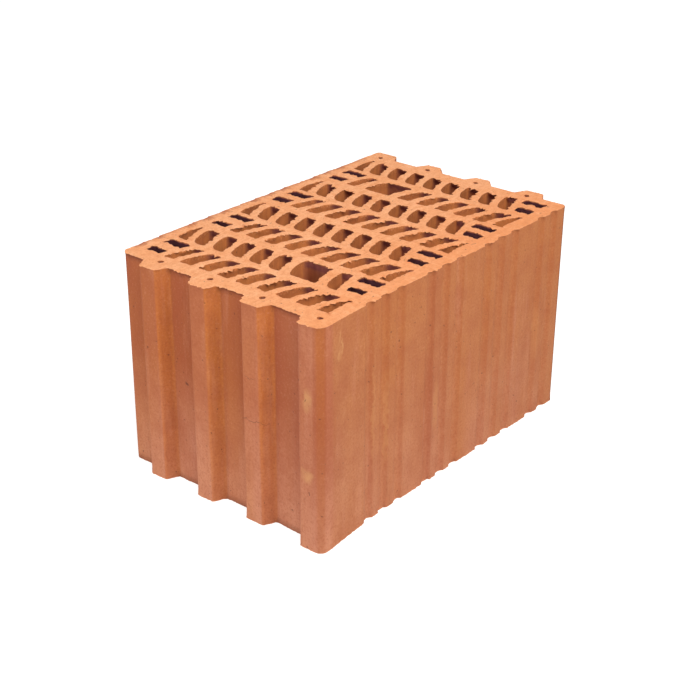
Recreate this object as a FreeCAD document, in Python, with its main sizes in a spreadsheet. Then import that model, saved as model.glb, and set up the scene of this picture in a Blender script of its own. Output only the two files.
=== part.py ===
import FreeCAD, Part
import math
import os
import Sketcher

doc = FreeCAD.newDocument("clay_block")
V = FreeCAD.Vector

# Driving sizes, millimetres and degrees
sizes = {
    "moduleLength": 380.0,      # tongue tip to the groove floor of the other end, one course step
    "blockWidth": 250.0,        # across the long faces, the wall's thickness
    "blockHeight": 219.0,       # wire cut to wire cut
    "tongueDepth": 13.0,        # tongue tip to groove floor
    "tonguePitch": 63.0,        # tongue to tongue along an end
    "tongueTip": 20.0,          # flat of a tongue's tip
    "tongueRoot": 32.0,         # tongue where it meets the groove floor
    "tipRound": 3.0,            # rounding of a tongue's tip
    "rootRound": 3.0,           # rounding where a flank meets the groove floor
    "cornerRound": 8.0,         # outer corner of the corner tongue
    "plainRound": 7.0,          # outer corner beside the last groove
    "endWall": 15.3,            # groove floor to the first rank of cells
    "sideWall": 14.5,           # long face to the cells
    "crossWeb": 10.0,           # straight web between two ranks
    "slantWeb": 7.0,            # slanted web between two cells, measured across the block
    "slantAngle": 16.0,         # lean of the slanted webs, degrees
    "narrowCell": 12.5,         # thin cell beside the twin slots
    "twinDepth": 21.3,          # twin slots, from the side wall to their foot on the rank's middle
    "twinWeb": 8.0,             # web between the twin slots and the thin cell
    "twinRib": 10.7,            # rib between the two slots
    "tailDepth": 8.9,           # last cell, from its slanted web to the side wall on the rank's middle
    "gripWeb": 10.0,            # webs on both sides of a grip hole
    "wideRound": 6.0,           # rounding in the blunt corners of a cell
    "tailRound": 1.5,           # rounding in the thin end of the last cell
    "slotRound": 2.5,           # rounding in the corners of a twin slot
    "gripRound": 4.0,           # rounding in the corners of a grip hole
    "tongueHole": 4.5,          # bore of the small hole behind each tongue
    "holeInset": 3.5,           # small hole's middle behind the groove floor
    "keyDepth": 3.0,            # plaster groove, long face to its floor
    "keyRadius": 8.3,           # plaster groove, radius of its floor
    "keyPitch": 22.05,          # plaster groove to plaster groove
    "keyStart": 56.0,           # first plaster groove from the groove floor of the end
}
sheet = doc.addObject("Spreadsheet::Sheet", "Sizes")
for row, (name, number) in enumerate(sizes.items(), start=1):
    sheet.set(f"A{row}", name)
    sheet.set(f"B{row}", str(number))
    sheet.setAlias(f"B{row}", name)
doc.recompute()

body = doc.addObject("PartDesign::Body", "ClayBlock")
body.Label = "clay_block"
doc.recompute()


def origin(role):
    return next(item for item in body.Origin.OriginFeatures if item.Role == role)


# Places that follow from the driving sizes
ranks = 8
fullCells = 7
halfBody = "((Sizes.moduleLength - Sizes.tongueDepth) / 2)"
halfWidth = "(Sizes.blockWidth / 2)"
inside = f"({halfWidth} - Sizes.sideWall)"
rankPitch = f"((2 * ({halfBody} - Sizes.endWall) + Sizes.crossWeb) / {ranks})"
halfCell = f"(({rankPitch} - Sizes.crossWeb) / 2)"
rise = f"(tan(Sizes.slantAngle * 1 deg) * {halfCell})"
twinFoot = f"({inside} - Sizes.twinDepth)"
narrowTop = f"({twinFoot} - Sizes.twinWeb)"
firstTop = f"({narrowTop} - Sizes.narrowCell - Sizes.slantWeb)"
tailTop = f"(Sizes.tailDepth - {inside})"
cellPitch = f"(({firstTop} - {tailTop}) / {fullCells})"
tongueMiddle = "(Sizes.tonguePitch * 1.25)"


def value(expression):
    return float(sheet.evalExpression(expression))


def newSketch(name):
    sketch = body.newObject("Sketcher::SketchObject", name)
    sketch.AttachmentSupport = [(origin("XY_Plane"), "")]
    sketch.MapMode = "FlatFace"
    return sketch


def drive(sketch, constraint, expression):
    index = sketch.addConstraint(constraint)
    sketch.setExpression(f"Constraints[{index}]", f"({expression}) * 1 mm")


def place(sketch, geometry, point, across, along):
    x = Sketcher.Constraint("DistanceX", -1, 1, geometry, point, value(across))
    drive(sketch, x, across)
    y = Sketcher.Constraint("DistanceY", -1, 1, geometry, point, value(along))
    drive(sketch, y, along)


def addLoop(sketch, corners):
    # A closed outline: each corner has its place and the rounding that trims it, or none
    spots = [V(value(x), value(y), 0) for x, y, _ in corners]
    radii = [value(r) if r else 0.0 for _, _, r in corners]
    count = len(corners)
    joins = []
    for i, spot in enumerate(spots):
        back = (spots[i - 1] - spot).normalize()
        ahead = (spots[(i + 1) % count] - spot).normalize()
        half = back.getAngle(ahead) / 2
        reach = radii[i] / math.tan(half)
        middle = spot + (back + ahead).normalize() * (radii[i] / math.sin(half))
        joins.append((spot + back * reach, spot + ahead * reach, middle, back.cross(ahead).z < 0))
    marks = []
    for (x, y, _), spot in zip(corners, spots):
        mark = sketch.addGeometry(Part.Point(spot), True)
        place(sketch, mark, 1, x, y)
        marks.append(mark)
    lines = []
    for i in range(count):
        follow = (i + 1) % count
        line = sketch.addGeometry(Part.LineSegment(joins[i][1], joins[follow][0]), False)
        lines.append(line)
        for end, corner in ((1, i), (2, follow)):
            if radii[corner]:
                sketch.addConstraint(Sketcher.Constraint("PointOnObject", marks[corner], 1, line))
            else:
                sketch.addConstraint(Sketcher.Constraint("Coincident", line, end, marks[corner], 1))
    for i, (start, stop, middle, left) in enumerate(joins):
        if not radii[i]:
            continue
        first, last = (start, stop) if left else (stop, start)
        turn = [math.atan2(p.y - middle.y, p.x - middle.x) for p in (first, last)]
        circle = Part.Circle(middle, V(0, 0, 1), radii[i])
        arc = sketch.addGeometry(Part.ArcOfCircle(circle, turn[0], turn[1]), False)
        ends = (1, 2) if left else (2, 1)
        sketch.addConstraint(Sketcher.Constraint("Tangent", lines[i - 1], 2, arc, ends[0]))
        sketch.addConstraint(Sketcher.Constraint("Tangent", arc, ends[1], lines[i], 1))
        drive(sketch, Sketcher.Constraint("Radius", arc, radii[i]), corners[i][2])


def pad(name, sketch):
    feature = body.newObject("PartDesign::Pad", name)
    feature.Profile = sketch
    feature.setExpression("Length", "Sizes.blockHeight * 1 mm")
    doc.recompute()
    return feature


def cut(name, sketch):
    before = body.Shape.Volume
    feature = body.newObject("PartDesign::Pocket", name)
    feature.Profile = sketch
    feature.Type = "ThroughAll"
    feature.Reversed = True
    doc.recompute()
    if body.Shape.Volume > before - 100.0:
        raise SystemExit(f"{name} cuts nothing")
    return feature


def rowOf(name, role, back, length, copies):
    row = doc.addObject("PartDesign::LinearPattern", name)
    row.Direction = (origin(role), [""])
    row.Reversed = back
    row.setExpression("Length", f"({length}) * 1 mm")
    row.Occurrences = copies
    return row


def halfTurn(name):
    turn = doc.addObject("PartDesign::PolarPattern", name)
    turn.Axis = (origin("Z_Axis"), [""])
    turn.Angle = 360
    turn.Occurrences = 2
    return turn


def repeat(name, features, steps):
    pattern = body.newObject("PartDesign::MultiTransform", name)
    pattern.Originals = features
    pattern.Transformations = steps
    body.Tip = pattern
    doc.recompute()
    return pattern


# The plain prism between the two groove floors
outline = newSketch("PlanOutline")
addLoop(outline, [
    (f"-{halfBody}", f"-{halfWidth}", None),
    (halfBody, f"-{halfWidth}", "Sizes.plainRound"),
    (halfBody, halfWidth, None),
    (f"-{halfBody}", halfWidth, "Sizes.plainRound"),
])
doc.recompute()
pad("PlainPrism", outline)

# Three full tongues on each end, each with half a groove on both sides
tip = f"-({halfBody} + Sizes.tongueDepth)"
floor = f"-{halfBody}"
buried = f"(Sizes.endWall / 2 - {halfBody})"


def tongueFlank(side):
    reach = [f"({tongueMiddle} {side} {width})" for width in
             ("Sizes.tonguePitch / 2", "Sizes.tongueRoot / 2", "Sizes.tongueTip / 2")]
    return [(buried, reach[0], None), (floor, reach[0], None), (floor, reach[1], "Sizes.rootRound"),
            (tip, reach[2], "Sizes.tipRound")]


tongueSketch = newSketch("TonguePlan")
addLoop(tongueSketch, tongueFlank("+") + tongueFlank("-")[::-1])
doc.recompute()
tongue = pad("Tongue", tongueSketch)
repeat("EndTongues", [tongue], [
    rowOf("TongueRow", "Y_Axis", True, "Sizes.tonguePitch * 2", 3),
    halfTurn("TongueTurn"),
])

# The fourth tongue is flush with a long face and rounds the block's corner
cornerMiddle = f"({tongueMiddle} - Sizes.tonguePitch * 3)"
cornerSketch = newSketch("CornerTonguePlan")
addLoop(cornerSketch, [
    (buried, f"({cornerMiddle} + Sizes.tonguePitch / 2)", None),
    (floor, f"({cornerMiddle} + Sizes.tonguePitch / 2)", None),
    (floor, f"({cornerMiddle} + Sizes.tongueRoot / 2)", "Sizes.rootRound"),
    (tip, f"({cornerMiddle} + Sizes.tongueTip / 2)", "Sizes.tipRound"),
    (tip, f"-{halfWidth}", "Sizes.cornerRound"),
    (buried, f"-{halfWidth}", None),
])
doc.recompute()
cornerTongue = pad("CornerTongue", cornerSketch)
repeat("CornerTongues", [cornerTongue], [halfTurn("CornerTurn")])

# A small hole behind every tongue
holeSketch = newSketch("TongueHolePlan")
hole = holeSketch.addGeometry(Part.Circle(V(value(f"Sizes.holeInset - {halfBody}"), value(tongueMiddle), 0),
                                          V(0, 0, 1), value("Sizes.tongueHole / 2")), False)
place(holeSketch, hole, 3, f"Sizes.holeInset - {halfBody}", tongueMiddle)
drive(holeSketch, Sketcher.Constraint("Radius", hole, value("Sizes.tongueHole / 2")), "Sizes.tongueHole / 2")
doc.recompute()
repeat("TongueHoles", [cut("TongueHole", holeSketch)], [
    rowOf("HoleRow", "Y_Axis", True, "Sizes.tonguePitch * 3", 4),
    halfTurn("HoleTurn"),
])

# Plaster grooves wave down both long faces, in threes with a gap of one after each three
keySpot = f"(-({halfWidth} + Sizes.keyRadius - Sizes.keyDepth))"


def keyGroove(name, across):
    sketch = newSketch(f"{name}Plan")
    ring = sketch.addGeometry(Part.Circle(V(value(across), value(keySpot), 0), V(0, 0, 1),
                                          value("Sizes.keyRadius")), False)
    place(sketch, ring, 3, across, keySpot)
    drive(sketch, Sketcher.Constraint("Radius", ring, value("Sizes.keyRadius")), "Sizes.keyRadius")
    doc.recompute()
    return cut(name, sketch)


firstKey = f"(Sizes.keyStart - {halfBody})"
repeat("KeyGrooves", [keyGroove("KeyGroove", firstKey)], [
    rowOf("KeyThree", "X_Axis", False, "Sizes.keyPitch * 2", 3),
    rowOf("KeyGroups", "X_Axis", False, "Sizes.keyPitch * 8", 3),
    halfTurn("KeyTurn"),
])
repeat("KeyPairs", [keyGroove("KeyGrooveLast", f"({firstKey} + Sizes.keyPitch * 12)")], [
    rowOf("KeyTwo", "X_Axis", False, "Sizes.keyPitch", 2),
    halfTurn("KeyPairTurn"),
])

# Slanted cells: ranks lean one way and the other by turns, so the webs make a herringbone
slope = "tan(Sizes.slantAngle * 1 deg)"
rankPair = f"({rankPitch} * 2)"


def rankMiddle(number):
    return f"({rankPitch} * ({number} - {(ranks + 1) / 2}))"


def slanted(sketch, middle, hand, top, foot, sharp=None, blunt="Sizes.wideRound"):
    # The blunt corners are rounded, the pointed ones stay sharp unless a rounding is given
    left = f"({middle} - {halfCell})"
    right = f"({middle} + {halfCell})"
    addLoop(sketch, [
        (left, f"{hand} * ({top} + {rise})", sharp),
        (left, f"{hand} * ({foot} + {rise})", blunt),
        (right, f"{hand} * ({foot} - {rise})", sharp),
        (right, f"{hand} * ({top} - {rise})", blunt),
    ])


def fullCell(sketch, middle, hand, number):
    top = f"({firstTop} - {cellPitch} * {number})"
    slanted(sketch, middle, hand, top, f"({top} - {cellPitch} + Sizes.slantWeb)")


def twinSlot(sketch, middle, hand, near, far):
    # Both slots of a rank stop on one slanted line
    addLoop(sketch, [
        (f"({middle} + {near})", f"{hand} * {inside}", "Sizes.slotRound"),
        (f"({middle} + {far})", f"{hand} * {inside}", "Sizes.slotRound"),
        (f"({middle} + {far})", f"{hand} * ({twinFoot} - {slope} * ({far}))", "Sizes.slotRound"),
        (f"({middle} + {near})", f"{hand} * ({twinFoot} - {slope} * ({near}))", "Sizes.slotRound"),
    ])


def tailCell(sketch, middle, hand):
    # The last cell of a rank ends flat at the side wall
    left = f"({middle} - {halfCell})"
    right = f"({middle} + {halfCell})"
    addLoop(sketch, [
        (left, f"{hand} * ({tailTop} + {rise})", None),
        (left, f"{hand} * -{inside}", None),
        (right, f"{hand} * -{inside}", "Sizes.tailRound"),
        (right, f"{hand} * ({tailTop} - {rise})", "Sizes.tailRound"),
    ])


def gripHole(word, hand, rank):
    # A hole for the hand takes the room of a rank's first two cells
    sketch = newSketch(f"{word}GripPlan")
    top = f"({narrowTop} - Sizes.narrowCell - Sizes.gripWeb)"
    foot = f"({firstTop} - {cellPitch} * 2 + Sizes.gripWeb)"
    slanted(sketch, rankMiddle(rank), hand, top, foot, "Sizes.gripRound", "Sizes.gripRound")
    doc.recompute()
    return cut(f"{word}Grip", sketch)


def upperCells(word, hand, rank):
    sketch = newSketch(f"{word}UpperPlan")
    for number in range(2):
        fullCell(sketch, rankMiddle(rank), hand, number)
    doc.recompute()
    return cut(f"{word}Upper", sketch)


def rankCells(word, hand, rank):
    middle = rankMiddle(rank)
    sketch = newSketch(f"{word}RankPlan")
    half = "(Sizes.twinRib / 2)"
    twinSlot(sketch, middle, hand, f"-{half}", f"-{halfCell}")
    twinSlot(sketch, middle, hand, half, halfCell)
    slanted(sketch, middle, hand, narrowTop, f"({narrowTop} - Sizes.narrowCell)")
    for number in range(2, fullCells):
        fullCell(sketch, middle, hand, number)
    tailCell(sketch, middle, hand)
    doc.recompute()
    return cut(f"{word}Rank", sketch)


# Falling ranks are the first, third, fifth and seventh from the -X end, rising ranks lie between them
gripHole("Falling", 1, 7)
gripHole("Rising", -1, 2)
upper = [upperCells("Falling", 1, 1), upperCells("Rising", -1, 4)]
repeat("UpperCells", upper, [rowOf("UpperRanks", "X_Axis", False, f"{rankPair} * 2", 3)])
whole = [rankCells("Falling", 1, 1), rankCells("Rising", -1, 2)]
repeat("RankCells", whole, [rowOf("EveryRank", "X_Axis", False, f"{rankPair} * 3", 4)])

doc.recompute()
for item in doc.Objects:
    if "Invalid" in item.State or "Error" in item.State:
        raise SystemExit(f"{item.Name} failed: {item.State}")
    if item.TypeId == "Sketcher::SketchObject" and not item.FullyConstrained:
        raise SystemExit(f"{item.Name} is not fully set")
shape = body.Shape
if shape.isNull() or not shape.isValid() or len(shape.Solids) != 1:
    raise SystemExit("the block is not one valid solid")
os.makedirs("parts", exist_ok=True)
shape.exportStep(f"parts/{body.Label}.step")
box = shape.BoundBox
print("box", [round(v, 3) for v in (box.XMin, box.XMax, box.YMin, box.YMax, box.ZMin, box.ZMax)])
print("volume cm3", round(shape.Volume / 1000, 1), "faces", len(shape.Faces))
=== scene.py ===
import math
import bmesh
import bpy
from mathutils import Matrix, Vector, noise


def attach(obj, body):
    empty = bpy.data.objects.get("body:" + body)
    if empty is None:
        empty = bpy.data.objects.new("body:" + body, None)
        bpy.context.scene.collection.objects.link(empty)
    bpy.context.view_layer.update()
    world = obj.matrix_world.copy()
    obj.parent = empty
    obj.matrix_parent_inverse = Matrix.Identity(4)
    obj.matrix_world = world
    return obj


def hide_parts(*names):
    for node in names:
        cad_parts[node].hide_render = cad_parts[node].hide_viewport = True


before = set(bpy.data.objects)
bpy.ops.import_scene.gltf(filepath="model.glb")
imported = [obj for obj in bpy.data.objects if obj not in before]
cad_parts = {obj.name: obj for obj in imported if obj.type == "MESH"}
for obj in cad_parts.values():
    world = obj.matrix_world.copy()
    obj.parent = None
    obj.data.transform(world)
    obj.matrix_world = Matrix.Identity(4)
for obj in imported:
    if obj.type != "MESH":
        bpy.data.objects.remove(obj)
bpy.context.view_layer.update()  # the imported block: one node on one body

scene = bpy.context.scene
scene.view_settings.view_transform = "Standard"
noise.seed_set(11)
print("frame loaded", sorted(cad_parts))


# Plan of the extruded clay, millimetres
plan = {
    "height": 219.0,
    "halfBody": 183.5,      # middle to a groove floor
    "halfWidth": 125.0,
    "tongueDepth": 13.0,
    "tongueSpots": (78.75, 15.75, -47.25),
    "cornerTongue": -110.25,
    "tipHalf": 10.0,
    "rootHalf": 16.0,
    "tipRound": 3.0,
    "rootRound": 3.0,
    "cornerRound": 8.0,
    "plainRound": 7.0,
    "ranks": 8,
    "rankPitch": 43.3,
    "halfCell": 16.65,
    "slope": math.tan(math.radians(16.0)),
    "inside": 110.5,        # middle to a side wall
    "twinFoot": 89.2,
    "twinRib": 5.35,
    "slotRound": 2.5,
    "narrowTop": 81.2,
    "narrowFoot": 68.7,
    "narrowRounds": (1.4, 6.0),    # sharp corners, blunt corners
    "cells": 7,
    "firstTop": 61.7,
    "cellPitch": 163.3 / 7,
    "slantWeb": 7.0,
    "fallingRounds": (2.0, 6.8),
    "risingRounds": (3.2, 6.8),
    "tailTop": -101.6,
    "tailRounds": (1.2, 1.5),
    "gripRanks": (2, 7),
    "gripTop": 58.7,
    "gripFoot": 25.04,
    "gripRounds": (4.0, 4.0),
    "gripCells": 2,         # cells that a grip hole takes the place of
    "holeInset": 3.5,
    "holeRadius": 2.5,
    "keyRadius": 8.3,       # plaster grooves of the long faces
    "keyDepth": 3.0,
    "keyFirst": -127.5,
    "keyPitch": 22.05,
    "keySteps": (0, 1, 2, 4, 5, 6, 8, 9, 10, 12, 13),   # threes and a pair, with gaps of one
}

# How the wire cut left the rims and the cut face, millimetres
wear = {
    "spacing": 1.7,         # between the points along a rim
    "topGrid": 4.4,         # most between the points on the cut face
    "jitter": 0.35,         # each die core sits a little off its place
    "slotShift": (0.5, 2.9, 1.3, 2.0, 1.3, 1.7, 0.9, 0.5),   # slots sit off their rank's middle
    "bowFar": 2.4,          # slanted webs belly out between the cross webs
    "bowNear": 0.8,
    "drag": Vector((-1.0, 0.0)),   # the way the wire went
    # Rims lap over the far ends of the cells, rank by rank
    "lapEnd": (-0.4, 0.6, -0.6, 2.0, -0.6, 2.6, 0.8, 3.6),
    "lapNear": 2.3,         # and over the near sides
    "lapNearTail": 0.69,
    "lapFalling": 1.8,      # and over the first ends
    "lapRising": 0.2,
    "lapSlot": 4.0,
    "lapDepth": 7.0,        # the laps reach this far down
    "openSlot": 2.6,        # slots break away at the far end
    "openTail": 1.4,        # and so do the cells by the near side
    "openFar": 1.0,         # and by the far side
    "drawnRank": 2,         # a rank that is drawn out on the near side
    "openDrawn": 2.6,
    "openDrawnTail": 3.4,
    "lipOuter": 0.7,
    "lipGroove": 1.5,       # over a groove floor
    "lipDepth": 3.0,
    "tipWear": 1.5,         # tongue corners chipped at the near end's rim
    "tongueSkew": 3.0,      # far tongues pulled aside at the rim
    "tongueChip": 1.8,
    "cornerSharp": 0.95,    # the far corner torn sharp
    "smear": 0.85,          # clay smeared over the groove heads of the back
    "smearHalf": 170.0,     # from the middle to where that stops
    "holeDrag": 2.0,        # the small holes went with the wire
    "tearFalling": 3.6,
    "tearRising": 2.8,
    "tearSlot": 2.4,
    "tearGrip": 2.2,
    "tearHole": 0.9,
    "tearOuter": 2.0,
    "innerLevels": (0.7, 1.7, 3.2, 5.2, 8.0, 14.0, 34.0, 120.0, 216.0),   # depths of the wall rings
    "outerLevels": (0.8, 1.9, 3.6, 7.0, 13.0, 22.0, 34.0, 48.0, 64.0, 82.0, 100.0, 118.0, 136.0, 154.0,
                    172.0, 190.0, 203.0, 212.0, 217.6),
}
wireFace, skin, cellWall = 0, 1, 2
outerKind, fallingKind, risingKind, slotKind, holeKind = 0, 1, 2, 3, 4


def wander(spot, size, lane=0.0):
    # Smooth noise between -1 and 1, one lane for each use
    x, y, z = spot
    return noise.noise(Vector((x / size + lane * 17.3, y / size - lane * 9.1, z / size + lane * 5.7)))


def ease(value, low, high):
    share = min(max((value - low) / (high - low), 0.0), 1.0)
    return share * share * (3.0 - 2.0 * share)


def addLoop(bm, corners, tear, kind):
    # A flat outline from a few corner points, each rounded by a vertex bevel
    before = set(bm.edges)
    verts = [bm.verts.new((x, y, plan["height"])) for x, y, _ in corners]
    bm.faces.new(verts)
    for i, (x, y, radius) in enumerate(corners):
        if not radius:
            continue
        spot = Vector((x, y))
        back = Vector(corners[i - 1][:2]) - spot
        ahead = Vector(corners[(i + 1) % len(corners)][:2]) - spot
        reach = radius / math.tan(back.angle(ahead) / 2)
        turn = math.pi - back.angle(ahead)
        steps = max(2, round(radius * turn / wear["spacing"]))
        bmesh.ops.bevel(bm, geom=[verts[i]], offset=reach, offset_type="OFFSET", segments=steps,
                        profile=0.5, affect="VERTICES", material=-1)
    loop = [edge for edge in bm.edges if edge not in before]
    tearLayer = bm.verts.layers.float["tear"]
    kindLayer = bm.verts.layers.int["kind"]
    for edge in loop:
        for vert in edge.verts:
            vert[tearLayer] = tear
            vert[kindLayer] = kind
    return loop


def grooveCorners():
    # Plaster grooves of a long face, each a shallow arc
    radius, depth = plan["keyRadius"], plan["keyDepth"]
    centre = -plan["halfWidth"] - radius + depth
    reach = math.acos(1.0 - depth / radius)
    points = []
    for step in plan["keySteps"]:
        middle = plan["keyFirst"] + step * plan["keyPitch"]
        for k in range(-4, 5):
            angle = reach * k / 4
            points.append((middle + radius * math.sin(angle), centre + radius * math.cos(angle), None))
    return points


def outerCorners():
    # Half of the outline, from one plain corner round an end and along a long face
    floor = -plan["halfBody"]
    tip = floor - plan["tongueDepth"]
    tipHalf, rootHalf = plan["tipHalf"], plan["rootHalf"]
    tipRound, rootRound = plan["tipRound"], plan["rootRound"]
    half = [(floor, plan["halfWidth"], plan["plainRound"])]
    for middle in plan["tongueSpots"]:
        half += [(floor, middle + rootHalf, rootRound), (tip, middle + tipHalf, tipRound),
                 (tip, middle - tipHalf, tipRound), (floor, middle - rootHalf, rootRound)]
    middle = plan["cornerTongue"]
    half += [(floor, middle + rootHalf, rootRound), (tip, middle + tipHalf, tipRound),
             (tip, -plan["halfWidth"], plan["cornerRound"])]
    half += grooveCorners()
    return half + [(-x, -y, radius) for x, y, radius in half]


def cellCorners(middle, hand, top, foot, rounds):
    # A slanted cell; hand is 1 in a falling rank and -1 in a rising one
    sharp, blunt = rounds
    reach = plan["halfCell"]
    rise = plan["slope"] * reach
    return [(middle - reach, hand * (top + rise), sharp), (middle - reach, hand * (foot + rise), blunt),
            (middle + reach, hand * (foot - rise), sharp), (middle + reach, hand * (top - rise), blunt)]


def slotCorners(middle, hand, side):
    # One of the twin slots; side is -1 or 1 from the rib between them
    near, far = side * plan["twinRib"], side * plan["halfCell"]
    foot, slope, radius = plan["twinFoot"], plan["slope"], plan["slotRound"]
    return [(middle + near, hand * plan["inside"], radius), (middle + far, hand * plan["inside"], radius),
            (middle + far, hand * (foot - slope * far), radius),
            (middle + near, hand * (foot - slope * near), radius)]


def tailCorners(middle, hand):
    first, last = plan["tailRounds"]
    reach, top, wall = plan["halfCell"], plan["tailTop"], plan["inside"]
    rise = plan["slope"] * reach
    return [(middle - reach, hand * (top + rise), first), (middle - reach, -hand * wall, first),
            (middle + reach, -hand * wall, last), (middle + reach, hand * (top - rise), last)]


def shaken(corners, lane):
    amount = wear["jitter"]
    return [(x + amount * wander((x, y, 0), 7.0, lane), y + amount * wander((y, x, 3), 7.0, lane + 1), radius)
            for x, y, radius in corners]


def addRank(bm, number):
    middle = plan["rankPitch"] * (number - (plan["ranks"] + 1) / 2)
    falling = number % 2 == 1
    hand = 1 if falling else -1
    kind = fallingKind if falling else risingKind
    tear = wear["tearFalling"] if falling else wear["tearRising"]
    rounds = plan["fallingRounds"] if falling else plan["risingRounds"]
    for side in (-1, 1):
        slot = slotCorners(middle + wear["slotShift"][number - 1], hand, side)
        addLoop(bm, shaken(slot, number), wear["tearSlot"], slotKind)
    narrow = cellCorners(middle, hand, plan["narrowTop"], plan["narrowFoot"], plan["narrowRounds"])
    addLoop(bm, shaken(narrow, number), tear, kind)
    first = 0
    if number in plan["gripRanks"]:
        grip = cellCorners(middle, hand, plan["gripTop"], plan["gripFoot"], plan["gripRounds"])
        addLoop(bm, shaken(grip, number), wear["tearGrip"], kind)
        first = plan["gripCells"]
    for cell in range(first, plan["cells"]):
        top = plan["firstTop"] - plan["cellPitch"] * cell
        wide = cellCorners(middle, hand, top, top - plan["cellPitch"] + plan["slantWeb"], rounds)
        addLoop(bm, shaken(wide, number), tear, kind)
    addLoop(bm, shaken(tailCorners(middle, hand), number), tear, kind)


def addTongueHoles(bm):
    radius = plan["holeRadius"]
    for end in (-1, 1):
        for spot in plan["tongueSpots"] + (plan["cornerTongue"],):
            middle = Vector((end * (plan["halfBody"] - plan["holeInset"]), -end * spot))
            ring = [(middle.x + radius * math.cos(math.tau * k / 10),
                     middle.y + radius * math.sin(math.tau * k / 10), None) for k in range(10)]
            addLoop(bm, ring, wear["tearHole"], holeKind)


def shareOut(bm, edges):
    # Cuts long rim edges to the spacing
    groups = {}
    for edge in edges:
        cuts = round(edge.calc_length() / wear["spacing"]) - 1
        if cuts > 0:
            groups.setdefault(cuts, []).append(edge)
    for cuts, group in groups.items():
        bmesh.ops.subdivide_edges(bm, edges=group, cuts=cuts)


def cutFaces(bm):
    limit = plan["height"] - 0.1
    return [f for f in bm.faces if f.material_index == wireFace and f.calc_center_median().z > limit]


def cutVerts(bm):
    return list(dict.fromkeys(v for f in cutFaces(bm) for v in f.verts))


def onCutFace(item):
    return all(face.material_index == wireFace for face in item.link_faces)


def innerEdges(faces):
    # Edges of the cut face off the rims, always in the same order
    return list(dict.fromkeys(e for f in faces for e in f.edges if onCutFace(e)))


def refineTop(bm):
    # Relief points on the cut face between the rims
    for step in range(9):
        long = [e for e in innerEdges(cutFaces(bm)) if e.calc_length() > wear["topGrid"]]
        if not long:
            break
        bmesh.ops.subdivide_edges(bm, edges=long, cuts=1)
        bmesh.ops.triangulate(bm, faces=cutFaces(bm))
        settleTop(bm, 1)


def settleTop(bm, passes):
    # Turns edges and eases points, so that the cut face lies flat between its rims
    faces = cutFaces(bm)
    bmesh.ops.beautify_fill(bm, faces=faces, edges=innerEdges(faces), method="ANGLE")
    relaxTop(bm, passes)


def relaxTop(bm, passes):
    free = [v for v in cutVerts(bm) if onCutFace(v)]
    for step in range(passes):
        bmesh.ops.smooth_vert(bm, verts=free, factor=0.5, use_axis_x=True, use_axis_y=True)


def setLevels(bm, uprights, depths):
    # Rings round a wall at the given depths under the cut face
    height = plan["height"]
    count = len(depths)
    made = bmesh.ops.subdivide_edges(bm, edges=uprights, cuts=count, use_grid_fill=True)
    for item in made["geom_inner"]:
        if isinstance(item, bmesh.types.BMVert):
            ring = round((height - item.co.z) * (count + 1) / height)
            item.co.z = height - depths[ring - 1]


def uprightEdges(bm):
    # Wall edges that still run the whole height
    limit = plan["height"] - 1.0
    return [e for e in bm.edges if abs(e.verts[0].co.z - e.verts[1].co.z) > limit]


def makeBlock():
    bm = bmesh.new()
    for name in ("tear", "tone", "ochre", "rim", "shade", "long"):
        bm.verts.layers.float.new(name)
    skinLayer = bm.verts.layers.int.new("skin")
    bm.verts.layers.int.new("kind")
    outer = addLoop(bm, outerCorners(), wear["tearOuter"], outerKind)
    for edge in outer:
        for vert in edge.verts:
            vert[skinLayer] = 1
    for number in range(1, plan["ranks"] + 1):
        addRank(bm, number)
    addTongueHoles(bm)
    bmesh.ops.delete(bm, geom=bm.faces[:], context="FACES_ONLY")
    shareOut(bm, bm.edges[:])
    print("rim points", len(bm.verts))
    bmesh.ops.triangle_fill(bm, edges=bm.edges[:], use_beauty=True, normal=(0, 0, 1))
    top = bm.faces[:]
    print("cut face", len(top), "area cm2", round(sum(f.calc_area() for f in top) / 100, 1))
    low = bmesh.ops.extrude_face_region(bm, geom=top)
    lowVerts = [item for item in low["geom"] if isinstance(item, bmesh.types.BMVert)]
    bmesh.ops.translate(bm, verts=lowVerts, vec=(0, 0, -plan["height"]))
    bmesh.ops.recalc_face_normals(bm, faces=bm.faces[:])
    bm.normal_update()
    for face in bm.faces:
        if abs(face.normal.z) > 0.5:
            face.material_index = wireFace
        elif all(v[skinLayer] for v in face.verts):
            face.material_index = skin
        else:
            face.material_index = cellWall
    setLevels(bm, [e for e in uprightEdges(bm) if not e.verts[0][skinLayer]], wear["innerLevels"])
    setLevels(bm, uprightEdges(bm), wear["outerLevels"])
    refineTop(bm)
    print("points", len(bm.verts), "faces", len(bm.faces))
    return bm


def wayOut(bm):
    # Plan direction out of the clay at every wall point
    ways = {}
    for vert in bm.verts:
        out = Vector((0, 0, 0))
        for face in vert.link_faces:
            if face.material_index != wireFace:
                out += face.normal
        out.z = 0
        if out.length > 0.01:
            ways[vert] = out.normalized()
    return ways


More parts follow.
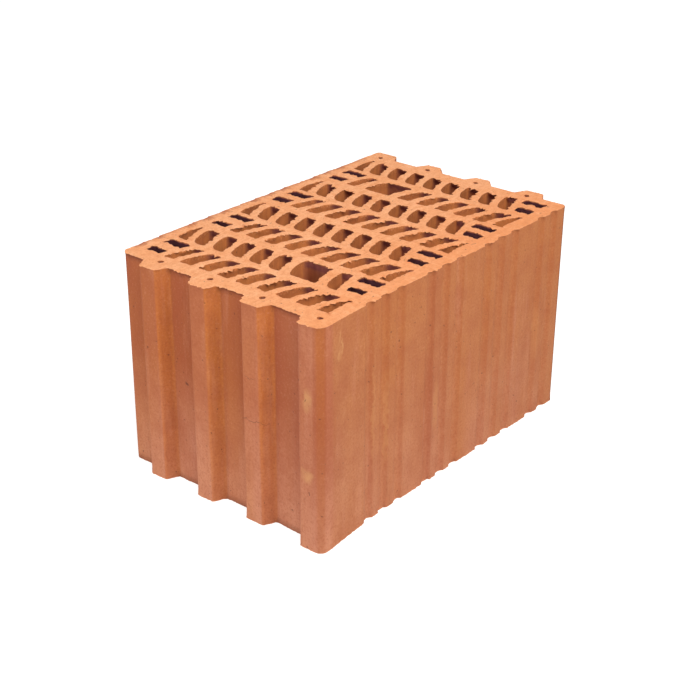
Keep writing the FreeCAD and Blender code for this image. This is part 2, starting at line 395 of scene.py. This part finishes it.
def lapOver(spot, out, kind):
    # How far a rim leans over its opening; less than nothing where it broke away
    if kind == holeKind:
        return wear["holeDrag"] * out.x
    if kind == slotKind:
        over = wear["lapSlot"] * max(ease(out.x, 0.2, 0.9), 0.15 * ease(out.y, 0.2, 0.9))
        return over - wear["openSlot"] * ease(-out.x, 0.2, 0.9)
    rank = round(spot.x / plan["rankPitch"] + (plan["ranks"] + 1) / 2)
    rising = kind == risingKind
    drawn = rank == wear["drawnRank"] and spot.y < -20.0
    start = wear["lapRising"] if rising else wear["lapFalling"]
    end, near = wear["lapEnd"][rank - 1], wear["lapNear"]
    if spot.y < (-66.0 if rising else -95.0):      # narrow cells of rising ranks, tails of falling ones
        end = -wear["openDrawnTail"] if drawn else -wear["openTail"]
        near = 0.0 if rising else wear["lapNearTail"]
    elif spot.y > 95.0:
        end = -wear["openFar"]
    elif drawn:
        end = -wear["openDrawn"]
    over = max(start * ease(out.x, 0.2, 0.95), near * ease(out.y, 0.2, 0.9))
    return over + end * ease(-out.x, 0.2, 0.95)


def wearRim(vert, out, near):
    # Tongue corners chip, and the wire smears clay over the groove heads of the back
    x, y = vert.co.xy
    share = 1.0 - ease(near, 0.0, wear["lapDepth"])
    proud = abs(x) - plan["halfBody"]
    lower, upper = -plan["tongueSpots"][1], -plan["tongueSpots"][2]   # inner tongues of the far end
    middle = upper if y > (lower + upper) / 2 else lower
    if x < 0.0:
        vert.co.x += wear["tipWear"] * ease(out.y, 0.15, 0.7) * ease(proud, 4.0, 12.0) * share
    elif proud > 2.0 and abs(y - middle) < plan["rootHalf"]:
        off = (middle - y) / plan["tipHalf"]
        vert.co.y += wear["tongueSkew"] * ease(off, 0.2, 1.0) * ease(proud, 2.0, 8.0) * share
        vert.co.x -= wear["tongueChip"] * ease(-off, 0.2, 1.0) * ease(proud, 4.0, 12.0) * share
    elif proud > 5.0 and y > plan["halfWidth"] - plan["cornerRound"]:
        radius = plan["cornerRound"]
        spread = Vector((proud - plan["tongueDepth"] + radius, y - plan["halfWidth"] + radius))
        spread *= radius / max(spread.x, spread.y, 0.1) - 1.0
        vert.co.xy += wear["cornerSharp"] * share * spread
    if out.y > 0.3 and abs(x) < wear["smearHalf"]:
        vert.co.y += wear["smear"] * (plan["halfWidth"] - y) * share


def tearRims(bm, ways):
    # The wire pulls the clay along: rims lap over the cells and tear
    tearLayer = bm.verts.layers.float["tear"]
    kindLayer = bm.verts.layers.int["kind"]
    skinLayer = bm.verts.layers.int["skin"]
    for vert, out in ways.items():
        x, y, z = vert.co
        depth = plan["height"] - z
        onTop = depth < z
        near = min(depth, z)
        push = out.xy.dot(wear["drag"]) if onTop else 0.0
        move = 0.14 * wander((x, y, z * 0.02), 3.5, 1) + 0.4 * wander((x, y, z * 0.25), 38.0, 2)
        if not vert[skinLayer]:
            middle = plan["rankPitch"] * (round(x / plan["rankPitch"] + 0.5) - 0.5)
            bow = wear["bowFar"] if out.y < 0.0 else wear["bowNear"]
            vert.co.y += bow * (1.0 - ((x - middle) / plan["halfCell"]) ** 2)
        if near < wear["lapDepth"]:
            patch = ease(wander((x, y, z * 0.01), 13.0, 5), -0.25, 0.35)
            ragged = 0.5 * wander((x, y, 0.0), 7.0, 10) + 0.55 * wander((x, y, 0.0), 3.2, 11)
            if vert[skinLayer]:
                lip = wear["lipGroove"] if abs(x) < plan["halfBody"] + 1.5 else wear["lipOuter"]
                lap = lip * ease(push, 0.15, 0.95)
                reach = wear["lipDepth"]
                if onTop:
                    wearRim(vert, out, near)
            else:
                lap = lapOver(vert.co, out, vert[kindLayer]) if onTop else 0.0
                reach = wear["lapDepth"]
            move += lap * (0.9 + ragged) * (1.0 - ease(near, 0.0, reach))
            rough = 0.9 * wander((x, y, near * 0.6), 3.4, 3) + wander((x, y, near * 0.8), 1.9, 4)
            amount = vert[tearLayer] * (0.4 + 0.6 * ease(push, -0.2, 0.35)) * math.exp(-near / 2.0)
            tear = amount * ((0.4 + 0.6 * patch) * rough + 0.3 * patch)
            move += tear
            if near < 0.1:
                drop = 0.15 + 0.3 * abs(tear) + 0.45 * ease(-push, 0.2, 0.9)
                vert.co.z += -drop if onTop else drop
        vert.co += out * move


def dragTop(bm):
    # Drag lines, hollows and pits on the cut face
    along = wear["drag"].normalized()
    across = Vector((-along.y, along.x))
    for vert in cutVerts(bm):
        spot = vert.co
        line = (spot.xy.dot(along) / 12.0, spot.xy.dot(across), 0.0)
        lift = 0.2 * wander(spot, 11.0, 6) + 0.1 * wander(spot, 4.0, 7) + 0.16 * wander(line, 2.4, 8)
        pit = max(0.0, wander(spot, 3.0, 9) - 0.5)
        vert.co.z += lift - 1.8 * pit


# How the kiln left the block out of square, millimetres
warp = {
    "farLong": 4.2,         # longer toward the far end
    "heelLong": 2.0,        # and more at its near corner
    "farWide": 1.5,
    "backBelly": 2.6,
    "noseOut": 3.5,         # the near corner stands out
    "noseFoot": 3.0,        # and leans out at its foot
}


def outOfSquare(spot):
    x, y, z = spot
    nose = ease(-x, 110.0, 196.0) * ease(-y, 40.0, 125.0)
    heel = ease(x, 60.0, 190.0) * ease(-y, 20.0, 125.0)
    far = ease(x, 60.0, 190.0) * ease(y, 20.0, 125.0)
    back = ease(y, 50.0, 125.0) * max(0.0, 1.0 - ((x + 20.0) / 170.0) ** 2)
    stretch = min(max((x + 90.0) / 280.0, 0.0), 1.0)
    up = z / plan["height"]
    lean = warp["noseFoot"] * (1.0 - up) * nose
    long = (0.6 + 0.4 * up) * (warp["farLong"] * stretch + warp["heelLong"] * heel) - lean
    wide = warp["farWide"] * far + warp["backBelly"] * back - warp["noseOut"] * nose - lean
    return Vector((long, wide, 0.0))


# Painted shade on the walls: the way they turn from the light, how deep it goes, and the far end walls; also
# on the groove feet, the corners and the back rim
tones = {
    fallingKind: {"turn": (0.25, 0.95), "deep": 4.5, "end": 0.6, "endTurn": (0.3, 0.8)},
    risingKind: {"turn": (0.1, 0.8), "deep": 6.0, "end": 0.5, "endTurn": (-0.2, 0.35)},
    "cell": 0.85,
    "grooveFoot": 0.6,
    "farCorner": 0.7,
    "nearCorner": 0.22,
    "backRimShade": 0.5,
    "backInnerShade": 0.55,      # share that the next points of the cut face take
}


def cellShade(spot, out, depth, kind):
    # Painted shade in the slots, under the rims that lean over, and on the far end walls
    patch = 2.0 * wander((spot.x, spot.y, 0.0), 9.0, 12)
    tone = tones[risingKind if kind == risingKind else fallingKind]
    deep = tone["deep"] + patch
    under = ease(-out.x, *tone["turn"]) * (1.0 - ease(depth, deep, deep + 4.5))
    under = max(under, tone["end"] * ease(-out.x, *tone["endTurn"]))
    return (1.0 if kind == slotKind else tones["cell"] * under) * ease(depth, 0.2, 1.2)


def skinShade(spot, out, depth):
    # Painted shade under the lips and at the feet of the groove floors, and down the far plain corner
    x, y, z = spot
    if out.x < -0.3 and abs(x) < plan["halfBody"] + 4.0:
        patch = 1.5 * wander((x, y, 0.0), 11.0, 13)
        lip = ease(depth, 0.2, 0.8) * (1.0 - ease(depth, 1.6 + patch, 5.0 + patch))
        foot = tones["grooveFoot"] * (1.0 - ease(z, 1.0, 7.0))
        return ease(-out.x, 0.3, 0.9) * max(lip, foot)
    if out.x > 0.15 and y < -117.0 and x > 170.0:
        return tones["farCorner"]
    return 0.0


def paintTones(bm, ways):
    # Marks for the finishes: redness, ochre flanks, rims, painted shade and the long faces; the redness also
    # carries painted shade on the groove sides of the long faces
    floats = bm.verts.layers.float
    tone, ochre, rim, shade, long = (floats[name] for name in ("tone", "ochre", "rim", "shade", "long"))
    skinLayer = bm.verts.layers.int["skin"]
    kindLayer = bm.verts.layers.int["kind"]
    for vert, out in ways.items():
        x, y, z = vert.co
        depth = plan["height"] - z
        if not vert[skinLayer]:
            vert[shade] = cellShade(vert.co, out, depth, vert[kindLayer])
        # painted shade along the far rim, darkest at the groove heads, spread a little onto the cut face
        elif out.y > 0.3 and abs(x) < wear["smearHalf"] and depth < 0.1:
            light = 1.0 - ease(plan["halfWidth"] - y, 0.4, 2.4)
            vert[shade] = 1.0 - tones["backRimShade"] * light
            for edge in vert.link_edges:
                other = edge.other_vert(vert)
                if onCutFace(other):
                    other[shade] = max(other[shade], tones["backInnerShade"] * vert[shade])
        else:
            vert[shade] = skinShade(vert.co, out, depth)
        if min(z, depth) < 0.5:
            vert[rim] = 1.0
        proud = abs(x) - plan["halfBody"]
        facing = 1.0 if proud < -9.0 else ease(abs(out.y), 0.55, 0.9)
        vert[long] = facing * (1.0 - ease(proud, -6.0, 0.0))
        vert[ochre] = ease(2.0 * out.x * out.y, 0.25, 0.85) * (1.0 - vert[long])
        if abs(out.x) > 0.2 and proud > -3.0:
            vert[tone] = ease(proud, 1.0, 11.0)
            if x < -186.0 and y < -116.0:      # the near corner, redder, with painted shade on its round
                vert[tone] *= 0.4
                vert[ochre] *= 0.65
                turned = ease(2.0 * out.x * out.y, 0.3, 0.9)
                vert[shade] = max(vert[shade], tones["nearCorner"] * turned)
        else:
            # painted shade: groove sides of the long faces that turn toward the key lamp are made redder and
            # darker, less toward the far end
            fading = 1.0 - 0.5 * ease(x, -60.0, 100.0)
            vert[tone] = 1.0 - 0.55 * ease(-out.x, 0.1, 0.6) * vert[long] * fading


bm = makeBlock()
ways = wayOut(bm)
paintTones(bm, ways)
tearRims(bm, ways)
relaxTop(bm, 3)
for step in range(5):      # the torn rims pushed some faces over
    settleTop(bm, 2)
dragTop(bm)
for vert in bm.verts:
    vert.co += outOfSquare(vert.co)
bm.normal_update()
print("folded", sum(1 for f in cutFaces(bm) if f.normal.z < 0.1))
for face in bm.faces:
    face.smooth = True
bmesh.ops.scale(bm, vec=(0.001, 0.001, 0.001), verts=bm.verts[:])
mesh = bpy.data.meshes.new("clayBlock")
bm.to_mesh(mesh)
bm.free()
mesh.set_sharp_from_angle(angle=math.radians(42))
clayBlock = bpy.data.objects.new("clayBlock", mesh)
scene.collection.objects.link(clayBlock)
mesh.calc_loop_triangles()
print("triangles", len(mesh.loop_triangles))
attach(clayBlock, "root")
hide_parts("clay_block")


# Colours as they are written, linear
clay = {
    "wireCut": (0.86, 0.375, 0.168),
    "wirePale": (0.92, 0.455, 0.235),
    "wireDeep": (0.70, 0.24, 0.085),
    "wireWarm": (0.83, 0.315, 0.125),
    "backRimShade": (0.30, 0.06, 0.03),
    "paintedShade": (0.16, 0.04, 0.018),
    "skinRed": (0.335, 0.082, 0.034),
    "skinPink": (0.455, 0.143, 0.070),
    "skinLong": (0.475, 0.183, 0.081),
    "flank": (0.54, 0.158, 0.035),
    "skinOchre": (0.47, 0.158, 0.042),
    "skinPale": (0.63, 0.28, 0.168),
    "cell": (0.81, 0.266, 0.078),
    "deepShade": (0.115, 0.025, 0.036),
    "slotShade": (0.035, 0.011, 0.013),
    "ochreStreak": (0.54, 0.23, 0.09),
    "scuff": (0.62, 0.31, 0.125),
    "speck": (0.09, 0.035, 0.025),
}

# What the kiln and handling left: place and half size in millimetres, colour, share
skinMarks = (
    ((-196.5, -50.0, 105.0), (16.0, 17.0, 0.55), "speck", 0.75),       # cracks across a tongue, their shade painted dark
    ((-196.5, -46.0, 148.0), (16.0, 9.0, 0.4), "speck", 0.5),
    ((-198.0, -114.0, 147.0), (16.0, 7.0, 14.0), "scuff", 0.4),        # scuffs
    ((-198.0, -113.0, 151.0), (16.0, 4.0, 6.0), "scuff", 0.35),
    ((-198.0, -114.0, 74.0), (16.0, 9.0, 9.0), "scuff", 0.4),
    ((-198.0, -116.0, 74.0), (16.0, 5.0, 4.0), "scuff", 0.3),
    ((-171.0, -128.0, 202.0), (1.3, 9.0, 9.0), "scuff", 0.4),          # scratches
    ((-168.0, -128.0, 194.0), (1.3, 9.0, 9.0), "scuff", 0.5),
    ((-171.0, -128.0, 186.0), (2.5, 9.0, 9.0), "scuff", 0.3),
    ((-174.0, -128.0, 191.0), (7.0, 9.0, 16.0), "scuff", 0.15),
    ((-183.5, 47.0, 106.0), (3.0, 1.8, 1.8), "speck", 0.7),            # pits, their shade painted dark
    ((-183.5, -81.0, 102.0), (3.0, 1.4, 1.4), "speck", 0.6),
    ((-196.5, -105.5, 164.0), (3.0, 1.7, 1.7), "speck", 0.8),
    ((-196.5, -112.0, 149.0), (3.0, 1.2, 1.2), "speck", 0.8),
    ((-183.5, -85.0, 21.0), (3.0, 1.3, 1.3), "speck", 0.6),
    ((-101.0, -125.0, 92.0), (3.0, 8.0, 60.0), "ochreStreak", 0.55),   # pale streaks
    ((-120.0, -125.0, 110.0), (2.0, 8.0, 70.0), "ochreStreak", 0.4),
    ((-26.0, -125.0, 78.0), (6.0, 8.0, 40.0), "ochreStreak", 0.4),
    ((145.0, -125.0, 92.0), (7.0, 8.0, 45.0), "ochreStreak", 0.35),
)
cutMarks = (      # torn pits by the near side, their shade painted dark
    ((-177.0, -121.5, 219.0), (1.3, 1.6, 3.0), "paintedShade", 0.8),
    ((-132.5, -120.5, 219.0), (3.2, 1.0, 3.0), "paintedShade", 0.7),
    ((-116.5, -119.5, 219.0), (3.0, 1.0, 3.0), "paintedShade", 0.7),
    ((42.0, -114.5, 219.0), (4.0, 1.0, 3.0), "paintedShade", 0.6),
    ((152.0, -116.5, 219.0), (2.0, 1.2, 3.0), "paintedShade", 0.7),
    ((174.0, -112.5, 219.0), (1.5, 1.5, 3.0), "paintedShade", 0.7),
)


def feed(tree, socket, entry):
    # A link, a colour without its alpha, or a plain value
    if isinstance(entry, bpy.types.NodeSocket):
        tree.links.new(entry, socket)
    elif isinstance(entry, tuple) and socket.type == "RGBA":
        socket.default_value = (*entry, 1.0)
    else:
        socket.default_value = entry


def add(tree, kind, **inputs):
    item = tree.nodes.new(kind)
    for name, entry in inputs.items():
        feed(tree, item.inputs[name.replace("_", " ")], entry)
    return item.outputs


def operate(tree, kind, operation, entries):
    item = tree.nodes.new(kind)
    item.operation = operation
    for socket, entry in zip(item.inputs, entries):
        feed(tree, socket, entry)
    return item.outputs


def math2(tree, operation, first, second=0.0):
    return operate(tree, "ShaderNodeMath", operation, (first, second))[0]


def times(tree, first, second):
    return math2(tree, "MULTIPLY", first, second)


def vector2(tree, operation, first, second):
    return operate(tree, "ShaderNodeVectorMath", operation, (first, second))[0]


def span(tree, entry, low, high, start=0.0, stop=1.0):
    ends = {"From_Min": low, "From_Max": high, "To_Min": start, "To_Max": stop}
    return add(tree, "ShaderNodeMapRange", Value=entry, **ends)["Result"]


def blend(tree, share, first, second):
    item = tree.nodes.new("ShaderNodeMix")
    item.data_type = "RGBA"
    for socket, entry in zip((item.inputs[0], item.inputs[6], item.inputs[7]), (share, first, second)):
        feed(tree, socket, entry)
    return item.outputs[2]


def layer(tree, colour, coats):
    # Lays clay colours one over the other, each with its share
    for share, name in coats:
        colour = blend(tree, share, colour, clay[name])
    return colour


def fleck(tree, spots, scale, detail=3.0, rough=0.55, stretch=(1.0, 1.0, 1.0), turn=0.0):
    # Noise on the block's own coordinates
    place = add(tree, "ShaderNodeMapping", Vector=spots, Scale=stretch, Rotation=(0.0, 0.0, turn))[0]
    grain = {"Scale": scale, "Detail": detail, "Roughness": rough}
    return add(tree, "ShaderNodeTexNoise", Vector=place, **grain)["Fac"]


def blockSpots(tree):
    spots = tree.nodes.new("ShaderNodeTexCoord").outputs["Object"]
    return spots, add(tree, "ShaderNodeSeparateXYZ", Vector=spots)


def mark(tree, name):
    item = tree.nodes.new("ShaderNodeAttribute")
    item.attribute_name = name
    return item.outputs["Fac"]


def newGroup(name, makeParts):
    # A shader group that puts out the named values
    group = bpy.data.node_groups.new(name, "ShaderNodeTree")
    parts = makeParts(group, group.nodes.new("ShaderNodeTexCoord").outputs["Object"])
    for label in parts:
        group.interface.new_socket(label, in_out="OUTPUT", socket_type="NodeSocketFloat")
    end = group.nodes.new("NodeGroupOutput")
    for label, entry in parts.items():
        group.links.new(entry, end.inputs[label])
    return group


def grainParts(group, spots):
    return {
        "Grain": fleck(group, spots, 900.0, 4.0, 0.7),
        "Sand": fleck(group, spots, 480.0, 2.0, 0.65),
        "Specks": span(group, fleck(group, spots, 330.0, 1.0, 0.4), 0.74, 0.80),
        "Mottle": fleck(group, spots, 42.0, 5.0, 0.62),
    }


def streakParts(group, spots):
    # Upright marks that the die leaves on the clay
    return {
        "Fine": fleck(group, spots, 300.0, 3.0, 0.6, (1.0, 1.0, 0.02)),
        "Broad": fleck(group, spots, 60.0, 3.0, 0.5, (1.0, 1.0, 0.06)),
        "Pale": span(group, fleck(group, spots, 75.0, 3.0, 0.6, (1.0, 1.0, 0.12)), 0.56, 0.74),
    }


clayGrain = newGroup("clayGrain", grainParts)
dieStreaks = newGroup("dieStreaks", streakParts)


def placeGroup(tree, group):
    item = tree.nodes.new("ShaderNodeGroup")
    item.node_tree = group
    return item.outputs


def newFinish(name):
    finish = bpy.data.materials.new(name)
    finish.use_nodes = True
    finish.node_tree.nodes["Principled BSDF"].inputs["Specular IOR Level"].default_value = 0.2
    return finish, finish.node_tree


def finishWith(tree, colour, roughness, height, depth):
    shader = tree.nodes["Principled BSDF"]
    tree.links.new(colour, shader.inputs["Base Color"])
    tree.links.new(roughness, shader.inputs["Roughness"])
    bump = add(tree, "ShaderNodeBump", Height=height, Strength=1.0, Distance=depth)
    tree.links.new(bump["Normal"], shader.inputs["Normal"])


def addMarks(tree, spots, colour, marks):
    # Small blots with uneven edges
    shake = add(tree, "ShaderNodeTexNoise", Vector=spots, Scale=120.0, Detail=3.0)["Color"]
    shake = vector2(tree, "SUBTRACT", shake, (0.5, 0.5, 0.5))
    shake = vector2(tree, "MULTIPLY", shake, (0.012, 0.012, 0.012))
    spots = vector2(tree, "ADD", spots, shake)
    for place, half, name, share in marks:
        away = vector2(tree, "SUBTRACT", spots, tuple(value / 1000.0 for value in place))
        away = vector2(tree, "MULTIPLY", away, tuple(1000.0 / value for value in half))
        reach = operate(tree, "ShaderNodeVectorMath", "LENGTH", (away,))["Value"]
        colour = blend(tree, span(tree, reach, 1.0, 0.4, 0.0, share), colour, clay[name])
    return colour


def wireCutFinish():
    finish, tree = newFinish("wireCutClay")
    grain = placeGroup(tree, clayGrain)
    spots, axes = blockSpots(tree)
    warm = times(tree, span(tree, axes["Y"], -0.02, -0.115), span(tree, axes["X"], -0.2, 0.12, 0.6, 1.0))
    turn = math.atan2(wear["drag"].y, -wear["drag"].x)
    drag = fleck(tree, spots, 420.0, 4.0, 0.6, (0.07, 1.0, 1.0), turn)
    chatter = fleck(tree, spots, 240.0, 3.0, 0.6, (1.0, 0.03, 1.0))
    crust = fleck(tree, spots, 170.0, 4.0, 0.65)
    colour = blend(tree, span(tree, grain["Mottle"], 0.35, 0.68), clay["wireCut"], clay["wirePale"])
    colour = layer(tree, colour, (
        (warm, "wireWarm"),
        (span(tree, drag, 0.62, 0.36, 0.0, 0.3), "wireDeep"),
        (span(tree, chatter, 0.52, 0.7, 0.0, 0.4), "wirePale"),
        (span(tree, crust, 0.5, 0.3, 0.0, 0.5), "wireDeep"),
        (span(tree, crust, 0.52, 0.7, 0.0, 0.5), "wirePale"),
        (span(tree, grain["Sand"], 0.5, 0.33, 0.0, 0.6), "wireDeep"),
        # painted shade along the far rim
        (times(tree, mark(tree, "shade"), 0.85), "backRimShade"),
        (times(tree, grain["Specks"], 0.6), "speck"),
    ))
    colour = addMarks(tree, spots, colour, cutMarks)
    height = times(tree, math2(tree, "ADD", drag, chatter), 0.4)
    height = math2(tree, "ADD", height, grain["Grain"])
    height = math2(tree, "SUBTRACT", height, grain["Specks"])
    finishWith(tree, colour, span(tree, grain["Grain"], 0.3, 0.7, 0.82, 0.97), height, 0.0006)
    return finish


def skinFinish():
    finish, tree = newFinish("dieSkinClay")
    grain, streaks = placeGroup(tree, clayGrain), placeGroup(tree, dieStreaks)
    spots, axes = blockSpots(tree)
    x, y, z = axes["X"], axes["Y"], axes["Z"]
    onLong, ochre = mark(tree, "long"), mark(tree, "ochre")
    nearEnd = span(tree, x, -0.17, -0.18)
    leftward = times(tree, span(tree, y, -0.02, 0.09, 0.0, 0.75), nearEnd)
    rightward = times(tree, span(tree, y, -0.06, -0.11, 0.0, 0.32), nearEnd)
    rightward = times(tree, rightward, span(tree, y, -0.125, -0.118))      # not round the corner
    # Painted light from the floor's bounce: paler toward the foot, less on the long faces and the flanks
    foot = times(tree, span(tree, z, 0.13, 0.005), span(tree, onLong, 0.0, 1.0, 0.95, 0.4))
    foot = times(tree, foot, span(tree, ochre, 0.0, 1.0, 1.0, 0.4))
    clouds = fleck(tree, spots, 15.0, 3.0, 0.5, (1.0, 1.0, 0.35))
    side = blend(tree, onLong, clay["skinPink"], clay["skinLong"])
    colour = blend(tree, mark(tree, "tone"), clay["skinRed"], side)
    colour = layer(tree, colour, (
        (leftward, "skinRed"),
        (rightward, "skinPale"),
        (times(tree, ochre, 0.9), "flank"),
        # painted bounce light at the foot
        (foot, "skinPale"),
        # painted shade on the long faces, darker toward the far end
        (times(tree, span(tree, x, 0.02, 0.17, 0.0, 0.1), onLong), "paintedShade"),
        (times(tree, span(tree, z, 0.06, 0.2, 0.0, 0.45), onLong), "skinOchre"),
        (span(tree, clouds, 0.42, 0.66, 0.0, 0.45), "skinOchre"),
        (span(tree, clouds, 0.46, 0.3, 0.0, 0.4), "skinRed"),
        (span(tree, streaks["Broad"], 0.35, 0.7, 0.0, 0.22), "skinOchre"),
        (times(tree, streaks["Pale"], 0.3), "skinPale"),
        (span(tree, streaks["Fine"], 0.6, 0.3, 0.0, 0.1), "skinRed"),
        (span(tree, grain["Sand"], 0.5, 0.3, 0.0, 0.4), "skinRed"),
        (span(tree, grain["Sand"], 0.56, 0.73, 0.0, 0.24), "skinPale"),
        (span(tree, grain["Mottle"], 0.6, 0.35, 0.0, 0.3), "skinRed"),
        (times(tree, mark(tree, "rim"), 0.35), "wirePale"),
        # painted shade from the shade mark
        (times(tree, mark(tree, "shade"), 0.7), "paintedShade"),
    ))
    colour = addMarks(tree, spots, colour, skinMarks)
    colour = layer(tree, colour, ((times(tree, grain["Specks"], 0.55), "speck"),))
    height = math2(tree, "ADD", times(tree, streaks["Fine"], 0.4), times(tree, grain["Grain"], 0.7))
    height = math2(tree, "SUBTRACT", height, grain["Specks"])
    finishWith(tree, colour, span(tree, grain["Grain"], 0.3, 0.7, 0.74, 0.92), height, 0.0004)
    return finish


def cellFinish():
    finish, tree = newFinish("cellWallClay")
    grain, streaks = placeGroup(tree, clayGrain), placeGroup(tree, dieStreaks)
    spots, axes = blockSpots(tree)
    shade = mark(tree, "shade")
    fromMiddle = math2(tree, "SUBTRACT", axes["Z"], plan["height"] / 2000.0)
    fromMiddle = math2(tree, "ABSOLUTE", fromMiddle)
    nearRim = span(tree, fromMiddle, 0.104, 0.1085)
    # painted shade deep inside the cells, away from both ends
    depthShade = span(tree, fromMiddle, 0.1, 0.06, 0.0, 0.5)
    crumbs = fleck(tree, spots, 620.0, 2.0, 0.6)
    colour = blend(tree, span(tree, streaks["Broad"], 0.3, 0.72, 0.2, 0.8), clay["cell"], clay["skinOchre"])
    colour = layer(tree, colour, (
        (span(tree, streaks["Fine"], 0.6, 0.3, 0.0, 0.25), "skinRed"),
        (span(tree, grain["Mottle"], 0.6, 0.35, 0.0, 0.45), "skinRed"),
        (times(tree, nearRim, span(tree, crumbs, 0.54, 0.64, 0.0, 0.5)), "wireCut"),
        # painted shade between the crumbs
        (times(tree, nearRim, span(tree, crumbs, 0.38, 0.3, 0.0, 0.5)), "deepShade"),
        # painted shade deeper in the cells and from the shade mark
        (math2(tree, "MAXIMUM", depthShade, shade), "deepShade"),
        # painted shade, near black, in the slots
        (span(tree, shade, 0.86, 1.0, 0.0, 0.7), "slotShade"),
        (times(tree, grain["Specks"], 0.5), "speck"),
    ))
    height = math2(tree, "ADD", streaks["Fine"], times(tree, grain["Grain"], 0.6))
    height = math2(tree, "ADD", height, times(tree, nearRim, times(tree, crumbs, 1.2)))
    finishWith(tree, colour, span(tree, grain["Grain"], 0.3, 0.7, 0.8, 0.95), height, 0.0005)
    return finish


for finish in (wireCutFinish(), skinFinish(), cellFinish()):
    mesh.materials.append(finish)
print("finishes done")


# Studio
studio = {
    "keySpot": (-0.5, -1.4, 2.1),
    "keyTarget": (0.0, 0.0, 0.15),
    "keySize": 1.9,
    "keyPower": 60.0,
    "fillSpot": (-1.7, 0.8, 0.6),
    "fillTarget": (-0.15, -0.05, 0.1),
    "fillSize": 0.9,
    "fillPower": 11.5,
    "ambient": 0.42,
    "floorColour": (0.86, 0.86, 0.855),
    "floorSeen": (0.45, 0.45, 0.45),
    "floorGlow": 0.8,
}


def addLamp(name):
    lamp = bpy.data.lights.new(name + "Lamp", "AREA")
    lamp.size = studio[name + "Size"]
    lamp.energy = studio[name + "Power"]
    holder = bpy.data.objects.new(name + "Lamp", lamp)
    spot = Vector(studio[name + "Spot"])
    holder.location = spot
    holder.rotation_euler = (Vector(studio[name + "Target"]) - spot).to_track_quat("-Z", "Y").to_euler()
    scene.collection.objects.link(holder)


def seenRays(tree):
    path = tree.nodes.new("ShaderNodeLightPath").outputs
    seen = math2(tree, "MAXIMUM", path["Is Camera Ray"], path["Is Glossy Ray"])
    return math2(tree, "MAXIMUM", seen, path["Is Transmission Ray"])


def addFloor():
    bm = bmesh.new()
    bmesh.ops.create_grid(bm, x_segments=1, y_segments=1, size=9.0)
    mesh = bpy.data.meshes.new("floor")
    bm.to_mesh(mesh)
    bm.free()
    floor = bpy.data.objects.new("floor", mesh)
    scene.collection.objects.link(floor)
    whitePaper = bpy.data.materials.new("whitePaper")
    whitePaper.use_nodes = True
    tree = whitePaper.node_tree
    tree.nodes.clear()
    seen = seenRays(tree)
    paper = blend(tree, seen, studio["floorColour"], studio["floorSeen"])
    matte = add(tree, "ShaderNodeBsdfDiffuse", Color=paper)[0]
    glow = add(tree, "ShaderNodeEmission", Strength=times(tree, seen, studio["floorGlow"]))[0]
    both = tree.nodes.new("ShaderNodeAddShader")
    tree.links.new(matte, both.inputs[0])
    tree.links.new(glow, both.inputs[1])
    end = tree.nodes.new("ShaderNodeOutputMaterial")
    tree.links.new(both.outputs[0], end.inputs["Surface"])
    mesh.materials.append(whitePaper)


def addSky():
    sky = bpy.data.worlds.new("studioSky")
    sky.use_nodes = True
    scene.world = sky
    tree = sky.node_tree
    back = tree.nodes["Background"]
    back.inputs["Color"].default_value = (1.0, 1.0, 1.0, 1.0)
    level = span(tree, seenRays(tree), 0.0, 1.0, studio["ambient"], 1.0)
    tree.links.new(level, back.inputs["Strength"])


addFloor()
addSky()
addLamp("key")
addLamp("fill")

# The photograph's viewpoint: metres, degrees
view = {"spot": (-1.0263, -0.8429, 0.7294), "heading": 50.55, "down": 25.78, "roll": 0.31, "lens": 75.497}
camera = bpy.data.objects.new("photoView", bpy.data.cameras.new("photoView"))
camera.data.lens = view["lens"]
camera.data.sensor_width = 36.0
camera.data.clip_start = 0.01
turn = Matrix.Rotation(math.radians(-view["heading"]), 4, "Z")
tilt = Matrix.Rotation(math.radians(90.0 - view["down"]), 4, "X")
roll = Matrix.Rotation(math.radians(view["roll"]), 4, "Z")
camera.matrix_world = Matrix.Translation(view["spot"]) @ turn @ tilt @ roll
scene.collection.objects.link(camera)
scene.camera = camera
